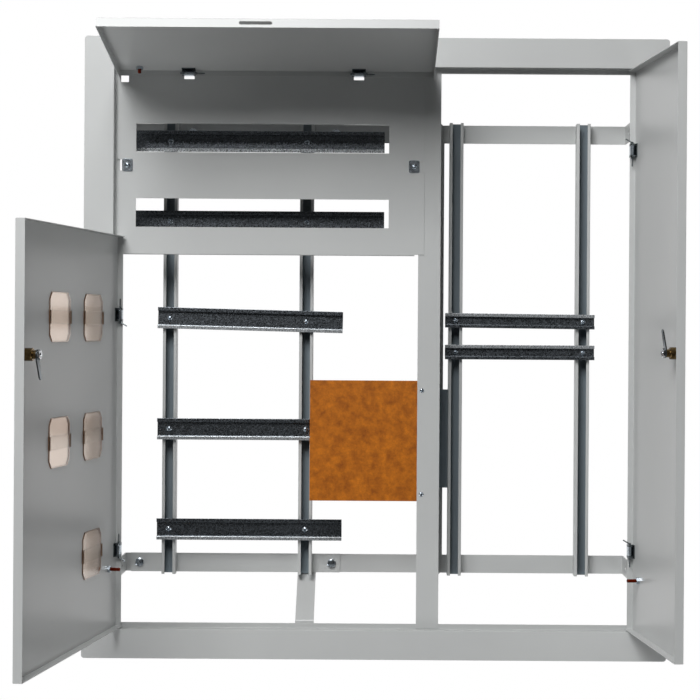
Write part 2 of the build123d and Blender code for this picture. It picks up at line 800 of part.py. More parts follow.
def meter_door():
    """Meter door in its own frame, with its lock hole and window openings."""
    door = leaf_tray(meter_reach, meter_span, meter_hinges_z)
    door -= lock_hole(meter_reach - lock_setback, meter_lock_z)
    for x, z in window_places().values():
        door -= window_hole(x, z)
    return door


def telecom_door():
    """Telecom door in its own frame, where up is reversed."""
    door = leaf_tray(telecom_reach, telecom_span, [-z for z in telecom_hinges_z])
    return door - lock_hole(telecom_reach - lock_setback, -telecom_lock_z)


def breaker_flap():
    """Flap in its own frame, with a finger slot through its free edge."""
    flap = leaf_tray(flap_reach, flap_span, flap_hinges_x)
    section = SlotOverall(pull_slot_length, pull_slot_height)
    slot = Rot(90, 0, 0) * extrude(Plane.YZ * section, leaf_sheet + 2 * over)
    return flap - Pos(flap_reach - leaf_sheet - over, skin_outer + leaf_flange / 2, pull_slot_x) * slot


def build_pieces():
    """Every piece of the board in its place, with the doors and the flap open."""
    pieces = {
        "trim_frame": trim_frame(),
        "centre_post": centre_post(),
        "compartment_partition": compartment_partition(),
        "upper_rear_bow": cross_bow(upper_bow_z),
        "lower_rear_bow": cross_bow(lower_bow_z),
        "upright_rear_bow": upright_bow(),
        "meter_frame_upper_bar": frame_bar(upper_bar_ends, upper_bow_z),
        "meter_frame_lower_bar": frame_bar(lower_bar_ends, lower_bow_z),
        "bar_bolts": bar_bolts(),
        "rail_screws": rail_screws(),
        "breaker_panel": breaker_panel(),
        "panel_clips": panel_clips(),
        "panel_clip_screws": panel_clip_screws(),
        "insulating_board": insulating_board(),
        "board_bracket": board_bracket(),
        "board_screws": board_screws(),
    }
    for side, x in zip(("left", "right"), meter_uprights_x):
        pieces[f"meter_{side}_upright"] = upright(x, meter_upright_front_y)
    for side, x in zip(("left", "right"), telecom_uprights_x):
        pieces[f"telecom_{side}_upright"] = upright(x, telecom_upright_front_y)
    for name, row in rail_rows().items():
        pieces[name] = rail(row)

    leaves = (
        ("meter_door", meter_closed, meter_open, zip(("upper", "lower"), meter_hinges_z), True),
        ("telecom_door", telecom_closed, telecom_open,
         zip(("upper", "lower"), [-z for z in telecom_hinges_z]), True),
        ("flap", flap_closed, flap_open, zip(("left", "right"), flap_hinges_x), False),
    )
    for name, closed, opened, hinges, bent in leaves:
        pins = []
        for place, z in hinges:
            pieces[f"{name}_{place}_frame_hinge"] = closed * Pos(0, 0, z) * frame_hinge_leaf()
            pieces[f"{name}_{place}_hinge_fork"] = opened * Pos(0, 0, z) * leaf_hinge_fork()
            pins.append(opened * Pos(0, 0, z) * hinge_pin(bent))
        pieces[f"{name}_hinge_pins"] = pins

    pieces["meter_door"] = meter_open * meter_door()
    pieces["telecom_door"] = telecom_open * telecom_door()
    pieces["flap"] = flap_open * breaker_flap()
    for place, (x, z) in window_places().items():
        pieces[f"meter_window_{place}"] = meter_open * meter_window(x, z)
    studs = (
        ("meter_door_earth_stud", meter_open, stud_inset, meter_stud_z, door_stud_length),
        ("telecom_door_earth_stud", telecom_open, stud_inset, -telecom_stud_z, door_stud_length),
        ("flap_earth_stud", flap_open, flap_stud_inset, flap_stud_x, flap_stud_length),
    )
    for name, opened, x, z, length in studs:
        pieces[name] = [opened * solid for solid in earth_stud(x, z, length)]
    locks = (
        ("meter", meter_open, meter_reach - lock_setback, meter_lock_z),
        ("telecom", telecom_open, telecom_reach - lock_setback, -telecom_lock_z),
    )
    for name, opened, x, z in locks:
        pieces[f"{name}_lock_housing"] = opened * lock_housing(x, z)
        pieces[f"{name}_lock_core"] = [opened * solid for solid in lock_core(x, z)]
        pieces[f"{name}_lock_cam"] = opened * lock_cam(x, z)
    return pieces


os.makedirs("parts", exist_ok=True)
for node, piece in build_pieces().items():
    solids = piece if isinstance(piece, list) else [piece]
    export_step(Compound(children=solids) if len(solids) > 1 else solids[0], f"parts/{node}.step")
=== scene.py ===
import json
from math import cos, pi, radians, sin, tan

import bmesh
import bpy
import numpy as np
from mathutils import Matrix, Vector

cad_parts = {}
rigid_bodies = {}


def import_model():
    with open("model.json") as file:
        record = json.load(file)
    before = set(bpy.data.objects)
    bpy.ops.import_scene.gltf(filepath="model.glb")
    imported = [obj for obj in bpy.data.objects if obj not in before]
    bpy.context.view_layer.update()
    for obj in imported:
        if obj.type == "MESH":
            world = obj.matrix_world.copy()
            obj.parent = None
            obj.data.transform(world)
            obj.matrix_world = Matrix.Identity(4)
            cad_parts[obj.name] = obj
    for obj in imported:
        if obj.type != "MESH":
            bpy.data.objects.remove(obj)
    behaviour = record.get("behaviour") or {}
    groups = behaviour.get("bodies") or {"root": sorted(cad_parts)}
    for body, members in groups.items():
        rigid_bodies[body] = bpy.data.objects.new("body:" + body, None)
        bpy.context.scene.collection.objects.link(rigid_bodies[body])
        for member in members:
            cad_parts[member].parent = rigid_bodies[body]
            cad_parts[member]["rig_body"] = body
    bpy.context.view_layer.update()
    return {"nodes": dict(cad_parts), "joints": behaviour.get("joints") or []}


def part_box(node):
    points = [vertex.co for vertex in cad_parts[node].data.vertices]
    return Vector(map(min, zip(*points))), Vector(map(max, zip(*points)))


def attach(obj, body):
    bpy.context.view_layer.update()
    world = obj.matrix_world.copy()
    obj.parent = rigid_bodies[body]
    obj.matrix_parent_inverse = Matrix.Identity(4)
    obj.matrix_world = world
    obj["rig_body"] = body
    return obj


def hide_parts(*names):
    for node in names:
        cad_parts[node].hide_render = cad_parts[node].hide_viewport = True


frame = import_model()


# Camera
# The board is seen square on from about three metres, a little above its middle, with the frame turned
# very slightly, so that the trim's right end stands lower in the picture than its left end.
PICTURE = 700.0
SENSOR_MM = 36.0
VIEW_DISTANCE = 3.060
VIEW_HEIGHT = 0.030
PIXELS_PER_METRE = 622.5
OPTICAL_CENTRE = (375.6, 330.0)
VIEW_ROLL = 0.0065

trim_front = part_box("trim_frame")[0].y
camera_data = bpy.data.cameras.new("camera")
camera_data.sensor_width = SENSOR_MM
camera_data.lens = SENSOR_MM * PIXELS_PER_METRE * VIEW_DISTANCE / PICTURE
camera_data.shift_x = (PICTURE / 2 - OPTICAL_CENTRE[0]) / PICTURE
camera_data.shift_y = (OPTICAL_CENTRE[1] - PICTURE / 2) / PICTURE
camera = bpy.data.objects.new("camera", camera_data)
camera.location = (0.0, trim_front - VIEW_DISTANCE, VIEW_HEIGHT)
camera.rotation_euler = (pi / 2, -VIEW_ROLL, 0.0)
bpy.context.scene.collection.objects.link(camera)
bpy.context.scene.camera = camera
bpy.context.scene.view_settings.view_transform = "Standard"


# Studio
# A white surround with a floor that looks pale below the board. The camera sees white all round, also
# through clear plastic. Metal and paint mirror the pale wall behind the board, or the dim room in front.
FLOOR_Z = -1.2
FLOOR_NEAR, FLOOR_FAR, FLOOR_SIDE = -4.5, 3.0, 4.0
FLOOR_COLOURS = ("9A9B9C", "A2A3A4")
FLOOR_CLOUD = 0.25
FLOOR_ROUGHNESS = (0.8, 0.8)
FLOOR_GLOW = 0.84
WHITE = (1.0, 1.0, 1.0, 1.0)
AMBIENT_COLOUR = "DCE0E6"
AMBIENT_STRENGTH = 0.004
ROOM_LEVEL = 0.03
WALL_LEVEL = 0.90
ROOM_EDGE = (-0.30, 0.15)
LAMPS = {
    "key_lamp": {"place": (-0.70, -2.20, 1.82), "aim": (0.0, -0.1, 0.0), "size": 1.4, "power": 72.0},
    "side_lamp": {"place": (-1.19, -1.50, 2.06), "aim": (0.0, -0.1, 0.0), "size": 1.26, "power": 5.0},
    "left_foot_lamp": {"place": (-1.20, -0.55, -1.00), "aim": (0.0, -0.1, 0.0), "size": 0.9, "power": 5.8},
    "right_foot_lamp": {"place": (1.20, -0.55, -1.00), "aim": (0.0, -0.1, 0.0), "size": 0.9, "power": 6.0},
    "back_lamp": {"place": (0.90, 2.10, 1.70), "aim": (0.0, 0.1, 0.0), "size": 1.2, "power": 14.0},
}


def linear(colour):
    """Linear colour with alpha 1 from an sRGB hex value."""
    parts = np.array([int(colour[i:i + 2], 16) for i in (0, 2, 4)]) / 255.0
    curve = np.where(parts <= 0.04045, parts / 12.92, ((parts + 0.055) / 1.055) ** 2.4)
    return (*curve.tolist(), 1.0)


def add(tree, kind, inputs=None, **settings):
    """Add a node with its settings, and give each named input a value or a link from another output."""
    node = tree.nodes.new(kind)
    for name, value in settings.items():
        setattr(node, name, value)
    for name, value in (inputs or {}).items():
        if isinstance(value, bpy.types.NodeSocket):
            tree.links.new(value, node.inputs[name])
        else:
            node.inputs[name].default_value = value
    return node


def new_material(name):
    """Empty node material and its tree."""
    material = bpy.data.materials.new(name)
    material.use_nodes = True
    material.node_tree.nodes.clear()
    return material, material.node_tree


def between(tree, share, colours):
    """Output of a colour that lies between two hex values, by the share that another output gives."""
    return add(tree, "ShaderNodeMix", {0: share, 6: linear(colours[0]), 7: linear(colours[1])},
               data_type="RGBA").outputs[2]


def clouded(tree, size, detail, colours, roughness):
    """Outputs of a colour and a roughness, each between two values that cloud into each other."""
    place = add(tree, "ShaderNodeTexCoord").outputs["Object"]
    noise = add(tree, "ShaderNodeTexNoise", {"Vector": place, "Scale": 1 / size, "Detail": detail})
    cloud = noise.outputs["Fac"]
    gloss = add(tree, "ShaderNodeMapRange", {"Value": cloud, "To Min": roughness[0], "To Max": roughness[1]})
    return between(tree, cloud, colours), gloss.outputs[0]


world = bpy.data.worlds.new("studio_surround")
bpy.context.scene.world = world
world.use_nodes = True
sky = world.node_tree
sky.nodes.clear()
ray = add(sky, "ShaderNodeLightPath").outputs
straight = add(sky, "ShaderNodeMath", {0: ray["Is Camera Ray"], 1: ray["Is Transmission Ray"]},
               operation="MAXIMUM")
way = add(sky, "ShaderNodeTexCoord").outputs["Generated"]
depth = add(sky, "ShaderNodeSeparateXYZ", {0: way}).outputs["Y"]
level = add(sky, "ShaderNodeMapRange", {"Value": depth, "From Min": ROOM_EDGE[0], "From Max": ROOM_EDGE[1],
                                        "To Min": ROOM_LEVEL, "To Max": WALL_LEVEL})
ambient = add(sky, "ShaderNodeBackground", {"Color": linear(AMBIENT_COLOUR), "Strength": AMBIENT_STRENGTH})
room = add(sky, "ShaderNodeBackground", {"Color": WHITE, "Strength": level.outputs[0]})
white = add(sky, "ShaderNodeBackground", {"Color": WHITE, "Strength": 1.0})
unseen = add(sky, "ShaderNodeMixShader", {0: ray["Is Glossy Ray"], 1: ambient.outputs[0], 2: room.outputs[0]})
surround = add(sky, "ShaderNodeMixShader", {0: straight.outputs[0], 1: unseen.outputs[0],
                                            2: white.outputs[0]})
add(sky, "ShaderNodeOutputWorld", {"Surface": surround.outputs[0]})

floor_mesh = bpy.data.meshes.new("floor")
floor_mesh.from_pydata([(-FLOOR_SIDE, FLOOR_NEAR, FLOOR_Z), (FLOOR_SIDE, FLOOR_NEAR, FLOOR_Z),
                        (FLOOR_SIDE, FLOOR_FAR, FLOOR_Z), (-FLOOR_SIDE, FLOOR_FAR, FLOOR_Z)],
                       [], [(0, 1, 2, 3)])
floor = bpy.data.objects.new("floor", floor_mesh)
bpy.context.scene.collection.objects.link(floor)
floor_paint, floor_tree = new_material("matt_floor_paint")
floor_tone, floor_gloss = clouded(floor_tree, FLOOR_CLOUD, 4.0, FLOOR_COLOURS, FLOOR_ROUGHNESS)
matt = add(floor_tree, "ShaderNodeBsdfPrincipled", {"Base Color": floor_tone, "Roughness": floor_gloss})
seen = add(floor_tree, "ShaderNodeLightPath").outputs["Is Camera Ray"]
shine = add(floor_tree, "ShaderNodeMath", {0: seen, 1: FLOOR_GLOW}, operation="MULTIPLY")
glow = add(floor_tree, "ShaderNodeEmission", {"Color": WHITE, "Strength": shine.outputs[0]})
pale = add(floor_tree, "ShaderNodeAddShader", {0: matt.outputs[0], 1: glow.outputs[0]})
add(floor_tree, "ShaderNodeOutputMaterial", {"Surface": pale.outputs[0]})
floor_mesh.materials.append(floor_paint)

for name, lamp in LAMPS.items():
    lamp_data = bpy.data.lights.new(name, "AREA")
    lamp_data.size = lamp["size"]
    lamp_data.energy = lamp["power"]
    lamp_object = bpy.data.objects.new(name, lamp_data)
    lamp_object.location = lamp["place"]
    beam = Vector(lamp["aim"]) - Vector(lamp["place"])
    lamp_object.rotation_euler = beam.to_track_quat("-Z", "Y").to_euler()
    bpy.context.scene.collection.objects.link(lamp_object)


# Trim frame
# The flat face that covers the niche's edge, its return into the wall and the lip that the doors close on,
# folded from one steel sheet, welded at the corners and powder painted.
MM = 0.001
PAINT_COLOURS = ("C6C8C8", "CED0CF")
PAINT_CLOUD = 140 * MM
PAINT_PEEL = 3.5 * MM
PAINT_PEEL_DEPTH = 0.008 * MM
PAINT_ROUGHNESS = (0.28, 0.36)
FOLD_ROLL = 0.3 * MM
MERGE_DISTANCE = 1e-6
FLAT_ANGLE = radians(0.5)
EDGE_ANGLE = radians(25)

solids = frame["nodes"]


def powder_paint(name, colours):
    """Powder coat, baked on sheet steel: an even, semi-gloss skin with a faint orange peel.
    The peel of the real coat is about a millimetre wide and is drawn coarser, so that it can show."""
    material, tree = new_material(name)
    tone, gloss = clouded(tree, PAINT_CLOUD, 3.0, colours, PAINT_ROUGHNESS)
    place = add(tree, "ShaderNodeTexCoord").outputs["Object"]
    peel = add(tree, "ShaderNodeTexNoise", {"Vector": place, "Scale": 1 / PAINT_PEEL, "Detail": 1.0})
    bump = add(tree, "ShaderNodeBump", {"Height": peel.outputs["Fac"], "Strength": 1.0,
                                        "Distance": PAINT_PEEL_DEPTH})
    coat = add(tree, "ShaderNodeBsdfPrincipled", {"Base Color": tone, "Roughness": gloss,
                                                  "Normal": bump.outputs[0], "IOR": 1.5})
    add(tree, "ShaderNodeOutputMaterial", {"Surface": coat.outputs[0]})
    return material


def take_place(piece, node):
    """Let a finished piece ride on its node's body and stand in for the node."""
    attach(piece, solids[node]["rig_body"])
    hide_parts(node)


def finished(node, material, roll, steps=2, others=(), chosen=None):
    """A solid of the board with every edge rolled over: its triangles are merged into whole faces, and a
    bevel of the given radius runs along each edge that turns by more than 25 degrees. Where there are other
    materials, the chosen test gives each face the number of its material."""
    shape = bmesh.new()
    shape.from_mesh(solids[node].data)
    bmesh.ops.remove_doubles(shape, verts=shape.verts, dist=MERGE_DISTANCE)
    bmesh.ops.dissolve_limit(shape, angle_limit=FLAT_ANGLE, verts=shape.verts, edges=shape.edges)
    mesh = bpy.data.meshes.new(f"{node}_finished")
    shape.to_mesh(mesh)
    shape.free()
    mesh.polygons.foreach_set("use_smooth", np.zeros(len(mesh.polygons), dtype=bool))
    for coat in (material, *others):
        mesh.materials.append(coat)
    if others:
        mesh.polygons.foreach_set("material_index", [int(chosen(face)) for face in mesh.polygons])
    piece = bpy.data.objects.new(f"{node}_finished", mesh)
    bpy.context.scene.collection.objects.link(piece)
    bevel = piece.modifiers.new("edge_roll", "BEVEL")
    bevel.width = roll
    bevel.segments = steps
    bevel.limit_method = "ANGLE"
    bevel.angle_limit = EDGE_ANGLE
    take_place(piece, node)


grey_paint = powder_paint("light_grey_powder_coat", PAINT_COLOURS)
finished("trim_frame", grey_paint, FOLD_ROLL)


# Centre post and compartment partition
# A flat strip welded to the lip at its ends, and the folded plate behind it that parts the two bays.
# Both are sheet steel in the same grey coat.
for node in ("centre_post", "compartment_partition"):
    finished(node, grey_paint, FOLD_ROLL)


# Rear bows and the meter frame's bars
# Bent strips that carry the inner frame behind the lip, and two flat bars bolted on their fronts.
# Two-millimetre steel strip, cut, bent and painted with the trim.
for node in ("upper_rear_bow", "lower_rear_bow", "upright_rear_bow", "meter_frame_upper_bar",
             "meter_frame_lower_bar"):
    finished(node, grey_paint, FOLD_ROLL)


# Bar bolts
# Hex bolts that hold the bars to the bows, each turned to where it came tight. Cold-headed steel with
# rolled threads, zinc plated.
ZINC_COLOURS = ("94A0AC", "DCE3E9")
ZINC_ROUGHNESS = (0.16, 0.30)
METAL_CLOUD = 4.0 * MM
BOLT_FLATS = 13.0 * MM
BOLT_HEAD = 5.3 * MM
BOLT_DOME = 1.1 * MM
BOLT_RADIUS = 4.0 * MM
BOLT_LENGTH = 4.0 * MM
BOLT_PITCH = 1.25 * MM
BOLT_POINT = 0.7 * BOLT_RADIUS
DOME_SHARES = (0.96, 0.8, 0.6, 0.4, 0.2, 0.05)
CORNER_ANGLE = radians(30)
CREASE_ANGLE = radians(30)
THREAD_DEPTH = 0.6
RINGS_PER_PITCH = 4
ROUND_SIDES = 48
TURN = np.linspace(0.0, 2 * pi, ROUND_SIDES, endpoint=False)
BOLT_STEP = 1.0


def clouded_metal(name, colours, roughness, detail):
    """Plated or cast metal in two tones that cloud into each other over a few millimetres."""
    material, tree = new_material(name)
    tone, gloss = clouded(tree, METAL_CLOUD, detail, colours, roughness)
    metal = add(tree, "ShaderNodeBsdfPrincipled", {"Base Color": tone, "Metallic": 1.0, "Roughness": gloss})
    add(tree, "ShaderNodeOutputMaterial", {"Surface": metal.outputs[0]})
    return material


# Bright zinc plate is a cool grey metal, slightly clouded by its passivation.
zinc = clouded_metal("bright_zinc_plate", ZINC_COLOURS, ZINC_ROUGHNESS, 3.0)


def islands(node):
    """Corner points of each separate solid of a node, as one array each."""
    shape = bmesh.new()
    shape.from_mesh(solids[node].data)
    bmesh.ops.remove_doubles(shape, verts=shape.verts, dist=MERGE_DISTANCE)
    found, groups = set(), []
    for first in shape.verts:
        if first in found:
            continue
        found.add(first)
        group = [first]
        for corner in group:
            for edge in corner.link_edges:
                other = edge.other_vert(corner)
                if other not in found:
                    found.add(other)
                    group.append(other)
        groups.append(np.array([corner.co[:] for corner in group]))
    shape.free()
    return groups


def ring(radius, height):
    """Circle of points round the local Z axis. Radius and height are numbers or one value for each point."""
    radius, height = np.broadcast_arrays(radius, height, TURN)[:2]
    return np.stack([radius * np.cos(TURN), radius * np.sin(TURN), height], axis=1)


def polygon(flats, sides):
    """Distance from the axis to the side of a regular polygon along each of the circle's directions: half the
    width across the flats, divided by the cosine of the angle to the middle of the nearest side."""
    return flats / 2 / np.cos((TURN + pi / sides) % (2 * pi / sides) - pi / sides)


def thread(radius, pitch, start, end):
    """Rings of a screw thread: the radius falls from the crest to the root, 0.6 pitch lower, and back once in
    every pitch of height, and the wave climbs by one pitch in each turn."""
    rings = []
    for height in np.linspace(start, end, max(2, int(RINGS_PER_PITCH * (end - start) / pitch))):
        wave = np.abs(2 * ((height / pitch - TURN / (2 * pi)) % 1.0) - 1)
        rings.append(ring(radius - THREAD_DEPTH * pitch * wave, height))
    return rings


def skin(rings, closed=False):
    """Points and faces over rings of points that climb along the axis. The first and the last ring close on
    their middles or, for a closed section with a bore, the last ring joins the first."""
    rings = np.array(rings)
    count, sides = rings.shape[:2]
    points = rings.reshape(-1, 3)
    step = np.arange(sides)
    after = (step + 1) % sides
    faces = []
    for number in range(count if closed else count - 1):
        low, high = number * sides, (number + 1) % count * sides
        faces += np.stack([low + step, low + after, high + after, high + step], axis=1).tolist()
    if not closed:
        points = np.vstack([points, rings[0].mean(axis=0), rings[-1].mean(axis=0)])
        bottom, top = count * sides, count * sides + 1
        last = (count - 1) * sides
        faces += [(bottom, int(b), int(a)) for a, b in zip(step, after)]
        faces += [(top, last + int(a), last + int(b)) for a, b in zip(step, after)]
    return points, faces


def set_at(shape, origin, axis, side=(0.0, 0.0, 1.0)):
    """Move a local shape: its Z axis runs from the origin along the axis, and its X axis to a side."""
    points, faces = shape
    up = Vector(axis).normalized()
    across = (Vector(side) - up * up.dot(Vector(side))).normalized()
    return np.array(origin) + points @ np.array([across, up.cross(across), up]), faces


def new_piece(node, shapes, materials):
    """One object from several shapes, each with the number of its material, smooth except at its creases."""
    points, faces, chosen, base = [], [], [], 0
    for (shape_points, shape_faces), number in shapes:
        points.append(shape_points)
        faces += [[base + corner for corner in face] for face in shape_faces]
        chosen += [number] * len(shape_faces)
        base += len(shape_points)
    mesh = bpy.data.meshes.new(f"{node}_finished")
    mesh.from_pydata(np.vstack(points).tolist(), [], faces)
    for material in materials:
        mesh.materials.append(material)
    mesh.polygons.foreach_set("material_index", chosen)
    mesh.shade_smooth()
    mesh.set_sharp_from_angle(angle=CREASE_ANGLE)
    piece = bpy.data.objects.new(f"{node}_finished", mesh)
    bpy.context.scene.collection.objects.link(piece)
    take_place(piece, node)


def hex_bolt():
    """Bolt along Z with its seat at zero: the threaded shank below, and above it a hexagon whose corners are
    turned off at 30 degrees. The top is a low dome, whose height falls with the square of the radius."""
    side = polygon(BOLT_FLATS, 6)
    flat = BOLT_FLATS / 2
    corner = BOLT_HEAD - BOLT_DOME - (side - flat) * tan(CORNER_ANGLE)
    rings = [ring(BOLT_POINT, -BOLT_LENGTH)] + thread(BOLT_RADIUS, BOLT_PITCH, -BOLT_LENGTH, 0.0)
    rings += [ring(side, 0.0), ring(side, corner)]
    rings += [ring(share * flat, BOLT_HEAD - BOLT_DOME * share ** 2) for share in DOME_SHARES]
    return skin(rings)


def fasten(node, shape, head, step):
    """Put a bolt or screw, its head to the front, at each of a node's solids. Each is turned further than the
    one before it by a step in radians."""
    shapes = []
    for number, corners in enumerate(islands(node)):
        low, high = corners.min(axis=0), corners.max(axis=0)
        seat = ((low[0] + high[0]) / 2, low[1] + head, (low[2] + high[2]) / 2)
        side = (cos(step * number), 0, sin(step * number))
        shapes.append((set_at(shape, seat, (0, -1, 0), side), 0))
    new_piece(node, shapes, [zinc])


fasten("bar_bolts", hex_bolt(), BOLT_HEAD, BOLT_STEP)


# Uprights
# Four C channels, open to the front, whose narrow lips carry the rails. Roll-formed steel strip, painted.
# The faces inside each channel get a darker grey coat: painted shade, for the little light that reaches in.
SHADE_COAT_COLOURS = ("7A858C", "88939A")
INSIDE = 0.6 * MM

# A darker grey powder coat that stands for shade: painted shade inside the upright channels and on the
# bracket behind the post.
painted_shade_coat = powder_paint("painted_shade_powder_coat", SHADE_COAT_COLOURS)
for node in ("meter_left_upright", "meter_right_upright", "telecom_left_upright", "telecom_right_upright"):
    low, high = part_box(node)
    finished(node, grey_paint, FOLD_ROLL, others=[painted_shade_coat],
             chosen=lambda face: all(low[k] + INSIDE < face.center[k] < high[k] - INSIDE for k in (0, 1)))


# Rails
# Top-hat mounting rails, roll-formed from galvanised strip and cut to length, with the crown on the uprights.
# One front flange gets a paler, less metallic strip: a painted highlight for the light that its rounded fold
# catches.
# It is the lower one in the meter bay and the upper one on the telecom rails, which are put in the other way
# up.
SPANGLE_COLOURS = ("5F6468", "8E949B")
SPANGLE_SIZE = 1.3 * MM
SPANGLE_TILT = 0.07
SPANGLE_ROUGHNESS = (0.20, 0.42)
FLANGE_HIGHLIGHT_COLOURS = ("B4BABE", "D6DADD")
FLANGE_METALLIC = 0.7
FLANGE_TILT = 0.06
FLANGE_DEPTH = 0.5 * MM
FRONT_NORMAL = -0.7
RAIL_ROLL = 0.40 * MM


def galvanised_steel(name, colours, metallic, tilt):
    """Hot-dip galvanised strip: zinc crystals a millimetre or two across, each with its own brightness
    and its own slight tilt, so that some flash while their neighbours stay dark."""
    material, tree = new_material(name)
    place = add(tree, "ShaderNodeTexCoord").outputs["Object"]
    bend = add(tree, "ShaderNodeTexNoise", {"Vector": place, "Scale": 1 / SPANGLE_SIZE, "Detail": 2.0})
    offset = add(tree, "ShaderNodeVectorMath", {0: bend.outputs["Color"], 1: (SPANGLE_SIZE,) * 3},
                 operation="MULTIPLY")
    warped = add(tree, "ShaderNodeVectorMath", {0: place, 1: offset.outputs[0]}, operation="ADD")
    crystal = add(tree, "ShaderNodeTexVoronoi", {"Vector": warped.outputs[0], "Scale": 1 / SPANGLE_SIZE})
    level = add(tree, "ShaderNodeSeparateColor", {0: crystal.outputs["Color"]})
    gloss = add(tree, "ShaderNodeMapRange", {"Value": level.outputs[1], "To Min": SPANGLE_ROUGHNESS[0],
                                             "To Max": SPANGLE_ROUGHNESS[1]})
    lean = add(tree, "ShaderNodeVectorMath", {0: crystal.outputs["Color"], 1: (0.5, 0.5, 0.5)},
               operation="SUBTRACT")
    turned = add(tree, "ShaderNodeVectorMath", {0: lean.outputs[0], "Scale": tilt}, operation="SCALE")
    facing = add(tree, "ShaderNodeVectorMath", {0: add(tree, "ShaderNodeNewGeometry").outputs["Normal"],
                                                1: turned.outputs[0]}, operation="ADD")
    normal = add(tree, "ShaderNodeVectorMath", {0: facing.outputs[0]}, operation="NORMALIZE")
    metal = add(tree, "ShaderNodeBsdfPrincipled", {"Base Color": between(tree, level.outputs[0], colours),
                                                   "Metallic": metallic, "Roughness": gloss.outputs[0],
                                                   "Normal": normal.outputs[0]})
    add(tree, "ShaderNodeOutputMaterial", {"Surface": metal.outputs[0]})
    return material


RAILS = ("breaker_rail_upper", "breaker_rail_lower", "meter_rail_upper", "meter_rail_middle",
         "meter_rail_lower", "telecom_rail_upper", "telecom_rail_lower")
spangle = galvanised_steel("galvanised_strip", SPANGLE_COLOURS, 1.0, SPANGLE_TILT)
# The paler strip for one front flange of each rail: a painted highlight.
flange_highlight = galvanised_steel("painted_highlight_galvanised_strip", FLANGE_HIGHLIGHT_COLOURS, FLANGE_METALLIC, FLANGE_TILT)
for node in RAILS:
    low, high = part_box(node)
    upper = node.startswith("telecom")
    finished(node, spangle, RAIL_ROLL, steps=3, others=[flange_highlight],
             chosen=lambda face: face.normal.y < FRONT_NORMAL and face.center.y < low.y + FLANGE_DEPTH
             and (face.center.z > (low.z + high.z) / 2) == upper)


# Rail screws
# Pan-head screws with a cross recess, one through each rail at each upright. Cold-headed and thread-rolled
# steel, zinc plated like the bolts.
RAIL_SCREW = {"head_radius": 4.5 * MM, "head": 2.6 * MM, "radius": 2.5 * MM, "length": 12.0 * MM,
              "pitch": 0.8 * MM}
SCREW_POINT = 0.5
HEAD_RIM = 0.25
HEAD_SHARES = np.linspace(0.97, 0.05, 15)
CROSS_ARM, CROSS_REACH, CROSS_EASE, CROSS_DEPTH = 0.20, 0.62, 0.10, 0.7
SCREW_STEP = 2.0


def pan_screw(head_radius, head, radius, length, pitch):
    """Screw along Z with its seat at zero: the threaded shank below, and above it a domed head. The dome's
    height falls with the square of the distance from the axis, and a cross is sunk where a point lies
    near either arm's middle line and inside the arms' ends, all as shares of the head's radius."""
    point = SCREW_POINT * radius
    rings = [ring(point, -length)] + thread(radius, pitch, point - length, 0.0)
    rings += [ring(head_radius, 0.0), ring(head_radius, HEAD_RIM * head)]
    for share in HEAD_SHARES:
        near = np.minimum(np.abs(np.cos(TURN)), np.abs(np.sin(TURN))) * share
        far = np.maximum(np.abs(np.cos(TURN)), np.abs(np.sin(TURN))) * share
        sunk = np.clip((CROSS_ARM - near) / CROSS_EASE, 0, 1)
        sunk *= np.clip((CROSS_REACH - far) / CROSS_EASE, 0, 1)
        dome = HEAD_RIM + (1 - HEAD_RIM) * (1 - share ** 2)
        rings.append(ring(share * head_radius, head * (dome - CROSS_DEPTH * sunk)))
    return skin(rings)


fasten("rail_screws", pan_screw(**RAIL_SCREW), RAIL_SCREW["head"], SCREW_STEP)


# Insulating board, its bracket and its screws
# A sheet of resin-bonded paper laminate behind the post, the painted angle that stiffens the partition
# beside it, and two small zinc-plated screws that hold the sheet.
LAMINATE_COLOURS = ("743604", "DC8018")
LAMINATE_CLOUD = 12 * MM
LAMINATE_SPREAD = (0.25, 0.70)
LAMINATE_FIBRE = 2.5 * MM
FIBRE_SHARE = 0.3
LAMINATE_ROUGHNESS = 0.42
BOARD_SCREW = {"head_radius": 3.6 * MM, "head": 2.0 * MM, "radius": 2.0 * MM, "length": 7.0 * MM,
               "pitch": 0.7 * MM}


def paper_laminate():
    """Paper laminate pressed in phenolic resin: orange-brown, clouded by uneven resin, with short fibres."""
    material, tree = new_material("resin_bonded_paper")
    place = add(tree, "ShaderNodeTexCoord").outputs["Object"]
    cloud = add(tree, "ShaderNodeTexNoise", {"Vector": place, "Scale": 1 / LAMINATE_CLOUD, "Detail": 6.0,
                                             "Roughness": 0.62})
    fibre = add(tree, "ShaderNodeTexNoise", {"Vector": place, "Scale": 1 / LAMINATE_FIBRE, "Detail": 2.0})
    spread = add(tree, "ShaderNodeMapRange", {"Value": cloud.outputs["Fac"], "From Min": LAMINATE_SPREAD[0],
                                              "From Max": LAMINATE_SPREAD[1]})
    both = add(tree, "ShaderNodeMix", {0: FIBRE_SHARE, 2: spread.outputs[0], 3: fibre.outputs["Fac"]},
               data_type="FLOAT")
    tone = between(tree, both.outputs[0], LAMINATE_COLOURS)
    resin = add(tree, "ShaderNodeBsdfPrincipled", {"Base Color": tone, "Roughness": LAMINATE_ROUGHNESS})
    add(tree, "ShaderNodeOutputMaterial", {"Surface": resin.outputs[0]})
    return material


finished("insulating_board", paper_laminate(), FOLD_ROLL)
# The bracket takes the darker grey coat: painted shade, for the deep gap beside the post where it stands.
finished("board_bracket", painted_shade_coat, FOLD_ROLL)
fasten("board_screws", pan_screw(**BOARD_SCREW), BOARD_SCREW["head"], SCREW_STEP)


